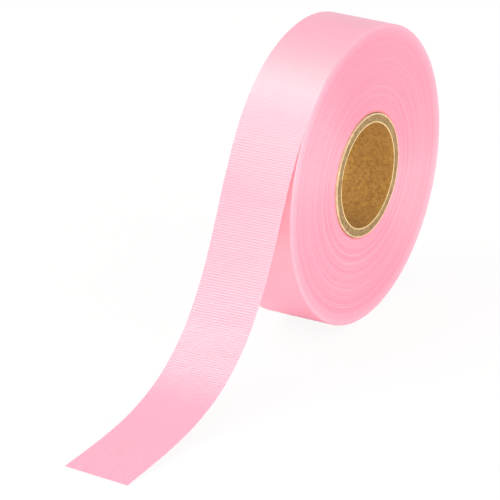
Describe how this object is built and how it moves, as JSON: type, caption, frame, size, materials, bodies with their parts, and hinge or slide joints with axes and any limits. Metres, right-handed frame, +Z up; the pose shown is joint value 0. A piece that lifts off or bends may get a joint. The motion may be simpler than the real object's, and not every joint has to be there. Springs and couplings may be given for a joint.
{
  "type": "marking tape roll",
  "caption": "Roll of ribbed marking tape on a spiral-wound paper core, its free end falling in an S-curve to the surface it stands on.",
  "frame": {"origin": "centre of the core's bore, at mid width of the tape", "axes": "+Y along the bore, +Z up, the free end falls towards -X; the surface that the roll stands on is one roll radius below the origin"},
  "size_m": [0.2151, 0.0266, 0.108],
  "materials": {
    "kraft_liner": "matte",
    "core_board": "matte",
    "core_wrap": "matte",
    "starter_tab": "matte",
    "tape": "satin"
  },
  "bodies": {
    "roll": {"core_inner_liner": "kraft_liner", "core_board_ply_1": "core_board", "core_board_ply_2": "core_board", "core_board_ply_3": "core_board", "core_board_ply_4": "core_board", "core_outer_wrap": "core_wrap", "starter_tab": "starter_tab", "tape_windings": "tape"},
    "free_end": {"tape_outer_turn": "tape", "tape_tail": "tape"}
  },
  "joints": [
    {"name": "pay_out", "type": "hinge", "parent": "roll", "child": "free_end", "pos_m": [0, 0, 0], "axis": [0, 1, 0], "continuous": true}
  ]
}
